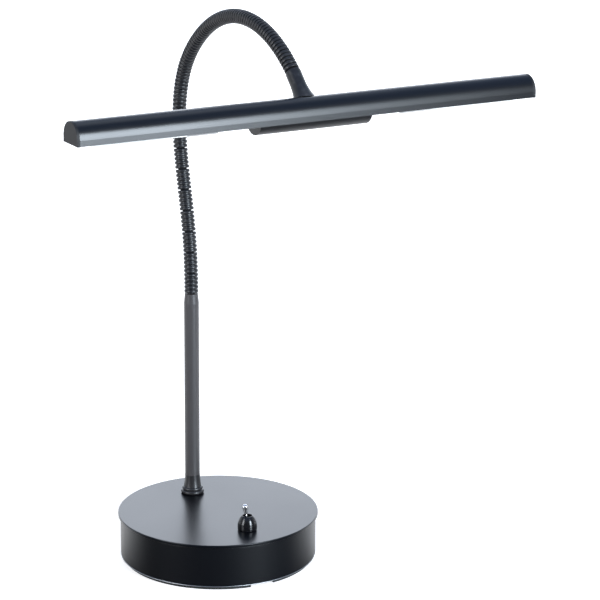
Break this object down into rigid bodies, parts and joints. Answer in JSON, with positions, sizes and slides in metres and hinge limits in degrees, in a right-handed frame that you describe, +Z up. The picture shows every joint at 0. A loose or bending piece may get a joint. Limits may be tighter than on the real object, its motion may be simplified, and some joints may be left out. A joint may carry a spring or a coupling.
{
  "type": "piano lamp",
  "caption": "Desk lamp with a long arched shade on a ribbed gooseneck, an upright stem and a round weighted base with a toggle switch.",
  "frame": {"origin": "centre of the base, on the surface that it stands on", "axes": "+Z up, -Y towards the front where the switch is, X along the shade"},
  "size_m": [0.374, 0.237, 0.4478],
  "materials": {
    "black_paint": "satin",
    "black_plastic": "matte",
    "gloss_black": "gloss",
    "rubber": "matte",
    "iron": "rough",
    "steel": "plain",
    "chrome": "polished",
    "aluminium": "satin",
    "opal": "opal white",
    "brass": "plain",
    "board": "matte"
  },
  "bodies": {
    "base": {"top_plate": "black_paint", "drum": "black_paint", "weight": "iron", "bottom_plate": "iron", "foot_pad": "rubber", "base_pillars": "steel", "base_screws": "steel", "dc_inlet": "black_plastic", "dc_inlet_nut": "steel", "driver_board": "board", "stem_collar": "black_paint", "stem_tube": "black_paint", "stem_nipple": "brass", "stem_washer": "steel", "stem_nut": "steel", "stem_tip": "black_paint", "switch_body": "black_plastic", "switch_bushing": "steel", "switch_under_nut": "steel", "switch_dome": "gloss_black", "switch_terminals": "brass"},
    "switch_lever": {"switch_lever": "chrome"},
    "neck_length_01": {"neck_length_01": "black_paint"},
    "neck_length_02": {"neck_length_02": "black_paint"},
    "neck_length_03": {"neck_length_03": "black_paint"},
    "neck_length_04": {"neck_length_04": "black_paint"},
    "neck_length_05": {"neck_length_05": "black_paint"},
    "neck_length_06": {"neck_length_06": "black_paint"},
    "neck_length_07": {"neck_length_07": "black_paint"},
    "neck_length_08": {"neck_length_08": "black_paint"},
    "neck_length_09": {"neck_length_09": "black_paint"},
    "neck_length_10": {"neck_length_10": "black_paint"},
    "neck_length_11": {"neck_length_11": "black_paint"},
    "neck_length_12": {"neck_length_12": "black_paint"},
    "neck_length_13": {"neck_length_13": "black_paint"},
    "neck_length_14": {"neck_length_14": "black_paint"},
    "neck_length_15": {"neck_length_15": "black_paint"},
    "neck_length_16": {"neck_length_16": "black_paint"},
    "neck_length_17": {"neck_length_17": "black_paint"},
    "neck_length_18": {"neck_length_18": "black_paint"},
    "neck_length_19": {"neck_length_19": "black_paint"},
    "neck_length_20": {"neck_length_20": "black_paint"},
    "neck_length_21": {"neck_length_21": "black_paint"},
    "neck_length_22": {"neck_length_22": "black_paint"},
    "neck_length_23": {"neck_length_23": "black_paint"},
    "neck_end": {"neck_bell": "black_paint", "neck_knuckle": "steel"},
    "shade": {"shade": "black_paint", "end_cap_left": "black_plastic", "end_cap_right": "black_plastic", "hinge_bracket": "steel", "hinge_bolt": "steel", "hinge_nut": "steel", "friction_washers": "black_plastic", "housing": "black_plastic", "lamp_holders": "black_plastic", "lamp_bases": "aluminium", "lamp_tubes": "opal", "lamp_clips": "steel"}
  },
  "joints": [
    {"name": "neck_bend", "type": "hinge", "parent": "base", "child": "neck_length_01", "pos_m": [0, 0.0455, 0.20884], "axis": [1, 0, 0], "range_deg": [-8, 2.5]},
    {"name": "neck_sway", "type": "hinge", "parent": "neck_length_01", "child": "neck_length_02", "pos_m": [0, 0.04594, 0.22548], "axis": [0, -0.9987, 0.0502], "range_deg": [-5, 5]},
    {"name": "neck_bend_02", "type": "hinge", "parent": "neck_length_02", "child": "neck_length_03", "pos_m": [0, 0.04717, 0.24209], "axis": [1, 0, 0], "range_deg": [-8, 2.5]},
    {"name": "neck_sway_02", "type": "hinge", "parent": "neck_length_03", "child": "neck_length_04", "pos_m": [0, 0.04956, 0.25857], "axis": [0, -0.9856, 0.1693], "range_deg": [-5, 5]},
    {"name": "neck_bend_03", "type": "hinge", "parent": "neck_length_04", "child": "neck_length_05", "pos_m": [0, 0.05281, 0.2749], "axis": [1, 0, 0], "range_deg": [-8, 2.5]},
    {"name": "neck_sway_03", "type": "hinge", "parent": "neck_length_05", "child": "neck_length_06", "pos_m": [0, 0.05662, 0.2911], "axis": [0, -0.974, 0.2264], "range_deg": [-5, 5]},
    {"name": "neck_bend_04", "type": "hinge", "parent": "neck_length_06", "child": "neck_length_07", "pos_m": [0, 0.06035, 0.30733], "axis": [1, 0, 0], "range_deg": [-8, 2.5]},
    {"name": "neck_sway_04", "type": "hinge", "parent": "neck_length_07", "child": "neck_length_08", "pos_m": [0, 0.06331, 0.32372], "axis": [0, -0.9909, 0.1349], "range_deg": [-5, 5]},
    {"name": "neck_bend_05", "type": "hinge", "parent": "neck_length_08", "child": "neck_length_09", "pos_m": [0, 0.06483, 0.3403], "axis": [1, 0, 0], "range_deg": [-8, 2.5]},
    {"name": "neck_sway_05", "type": "hinge", "parent": "neck_length_09", "child": "neck_length_10", "pos_m": [0, 0.06423, 0.35694], "axis": [0, -0.9927, -0.1204], "range_deg": [-5, 5]},
    {"name": "neck_bend_06", "type": "hinge", "parent": "neck_length_10", "child": "neck_length_11", "pos_m": [0, 0.06084, 0.37324], "axis": [1, 0, 0], "range_deg": [-8, 2.5]},
    {"name": "neck_sway_06", "type": "hinge", "parent": "neck_length_11", "child": "neck_length_12", "pos_m": [0, 0.05413, 0.38848], "axis": [0, -0.866, -0.5], "range_deg": [-5, 5]},
    {"name": "neck_bend_07", "type": "hinge", "parent": "neck_length_12", "child": "neck_length_13", "pos_m": [0, 0.04428, 0.4019], "axis": [1, 0, 0], "range_deg": [-8, 2.5]},
    {"name": "neck_sway_07", "type": "hinge", "parent": "neck_length_13", "child": "neck_length_14", "pos_m": [0, 0.03226, 0.41342], "axis": [0, -0.6428, -0.766], "range_deg": [-5, 5]},
    {"name": "neck_bend_08", "type": "hinge", "parent": "neck_length_14", "child": "neck_length_15", "pos_m": [0, 0.01883, 0.42326], "axis": [1, 0, 0], "range_deg": [-8, 2.5]},
    {"name": "neck_sway_08", "type": "hinge", "parent": "neck_length_15", "child": "neck_length_16", "pos_m": [0, 0.00421, 0.43123], "axis": [0, -0.4173, -0.9088], "range_deg": [-5, 5]},
    {"name": "neck_bend_09", "type": "hinge", "parent": "neck_length_16", "child": "neck_length_17", "pos_m": [0, -0.01136, 0.43713], "axis": [1, 0, 0], "range_deg": [-8, 2.5]},
    {"name": "neck_sway_09", "type": "hinge", "parent": "neck_length_17", "child": "neck_length_18", "pos_m": [0, -0.0276, 0.4408], "axis": [0, -0.1507, -0.9886], "range_deg": [-5, 5]},
    {"name": "neck_bend_10", "type": "hinge", "parent": "neck_length_18", "child": "neck_length_19", "pos_m": [0, -0.0442, 0.44213], "axis": [1, 0, 0], "range_deg": [-8, 2.5]},
    {"name": "neck_sway_10", "type": "hinge", "parent": "neck_length_19", "child": "neck_length_20", "pos_m": [0, -0.06081, 0.44104], "axis": [0, 0.1392, -0.9903], "range_deg": [-5, 5]},
    {"name": "neck_bend_11", "type": "hinge", "parent": "neck_length_20", "child": "neck_length_21", "pos_m": [0, -0.07708, 0.43751], "axis": [1, 0, 0], "range_deg": [-8, 2.5]},
    {"name": "neck_sway_11", "type": "hinge", "parent": "neck_length_21", "child": "neck_length_22", "pos_m": [0, -0.09266, 0.43165], "axis": [0, 0.4187, -0.9081], "range_deg": [-5, 5]},
    {"name": "neck_bend_12", "type": "hinge", "parent": "neck_length_22", "child": "neck_length_23", "pos_m": [0, -0.10724, 0.42361], "axis": [1, 0, 0], "range_deg": [-8, 2.5]},
    {"name": "neck_sway_12", "type": "hinge", "parent": "neck_length_23", "child": "neck_end", "pos_m": [0, -0.12054, 0.41358], "axis": [0, 0.6561, -0.7547], "range_deg": [-5, 5]},
    {"name": "head_tilt", "type": "hinge", "parent": "neck_end", "child": "shade", "pos_m": [0, -0.14529, 0.38884], "axis": [1, 0, 0], "range_deg": [-22, 28]},
    {"name": "switch_toggle", "type": "hinge", "parent": "base", "child": "switch_lever", "pos_m": [0, -0.05, 0.042], "axis": [1, 0, 0], "range_deg": [0, 32]}
  ],
  "couplings": [
    {"joint": "neck_bend_02", "follows": "neck_bend", "ratio": 1},
    {"joint": "neck_sway_02", "follows": "neck_sway", "ratio": 1},
    {"joint": "neck_bend_03", "follows": "neck_bend", "ratio": 1},
    {"joint": "neck_sway_03", "follows": "neck_sway", "ratio": 1},
    {"joint": "neck_bend_04", "follows": "neck_bend", "ratio": 1},
    {"joint": "neck_sway_04", "follows": "neck_sway", "ratio": 1},
    {"joint": "neck_bend_05", "follows": "neck_bend", "ratio": 1},
    {"joint": "neck_sway_05", "follows": "neck_sway", "ratio": 1},
    {"joint": "neck_bend_06", "follows": "neck_bend", "ratio": 1},
    {"joint": "neck_sway_06", "follows": "neck_sway", "ratio": 1},
    {"joint": "neck_bend_07", "follows": "neck_bend", "ratio": 1},
    {"joint": "neck_sway_07", "follows": "neck_sway", "ratio": 1},
    {"joint": "neck_bend_08", "follows": "neck_bend", "ratio": 1},
    {"joint": "neck_sway_08", "follows": "neck_sway", "ratio": 1},
    {"joint": "neck_bend_09", "follows": "neck_bend", "ratio": 1},
    {"joint": "neck_sway_09", "follows": "neck_sway", "ratio": 1},
    {"joint": "neck_bend_10", "follows": "neck_bend", "ratio": 1},
    {"joint": "neck_sway_10", "follows": "neck_sway", "ratio": 1},
    {"joint": "neck_bend_11", "follows": "neck_bend", "ratio": 1},
    {"joint": "neck_sway_11", "follows": "neck_sway", "ratio": 1},
    {"joint": "neck_bend_12", "follows": "neck_bend", "ratio": 1},
    {"joint": "neck_sway_12", "follows": "neck_sway", "ratio": 1}
  ]
}
